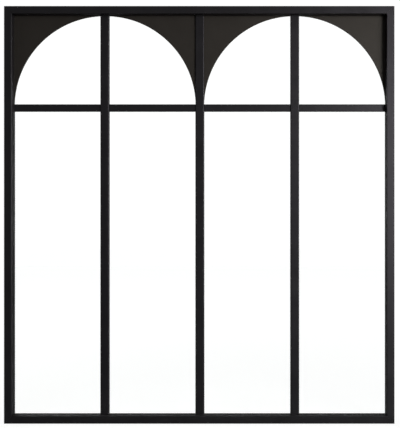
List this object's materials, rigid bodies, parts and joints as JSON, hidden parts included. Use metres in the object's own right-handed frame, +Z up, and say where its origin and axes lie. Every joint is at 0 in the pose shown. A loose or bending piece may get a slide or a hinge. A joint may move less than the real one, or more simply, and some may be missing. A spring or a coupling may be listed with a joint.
{
  "type": "aluminium interior window",
  "caption": "Fixed black aluminium interior window with slim bars, tall lower panes, and sheet spandrels that shape the short upper panes into round arches.",
  "frame": {"origin": "on the sill's underside, half way along the window and under the middle of the glass's thickness", "axes": "+X to the right seen from the front, +Y from the front to the back, +Z up; the front faces -Y"},
  "size_m": [1.22, 0.06, 1.305],
  "materials": {
    "black_coating": "satin",
    "clear_glass": "polished",
    "gasket_rubber": "matte"
  },
  "bodies": {
    "root": {"centre_mullion": "black_coating", "head_rail": "black_coating", "left_jamb": "black_coating", "left_mullion": "black_coating", "lower_beads_1": "black_coating", "lower_beads_2": "black_coating", "lower_beads_3": "black_coating", "lower_beads_4": "black_coating", "lower_gaskets_1": "gasket_rubber", "lower_gaskets_2": "gasket_rubber", "lower_gaskets_3": "gasket_rubber", "lower_gaskets_4": "gasket_rubber", "lower_pane_1": "clear_glass", "lower_pane_2": "clear_glass", "lower_pane_3": "clear_glass", "lower_pane_4": "clear_glass", "rear_spandrel_1": "black_coating", "rear_spandrel_2": "black_coating", "rear_spandrel_3": "black_coating", "rear_spandrel_4": "black_coating", "right_jamb": "black_coating", "right_mullion": "black_coating", "sill_rail": "black_coating", "spandrel_1": "black_coating", "spandrel_2": "black_coating", "spandrel_3": "black_coating", "spandrel_4": "black_coating", "transom_1": "black_coating", "transom_2": "black_coating", "transom_3": "black_coating", "transom_4": "black_coating", "upper_beads_1": "black_coating", "upper_beads_2": "black_coating", "upper_beads_3": "black_coating", "upper_beads_4": "black_coating", "upper_gaskets_1": "gasket_rubber", "upper_gaskets_2": "gasket_rubber", "upper_gaskets_3": "gasket_rubber", "upper_gaskets_4": "gasket_rubber", "upper_pane_1": "clear_glass", "upper_pane_2": "clear_glass", "upper_pane_3": "clear_glass", "upper_pane_4": "clear_glass"}
  },
  "joints": []
}
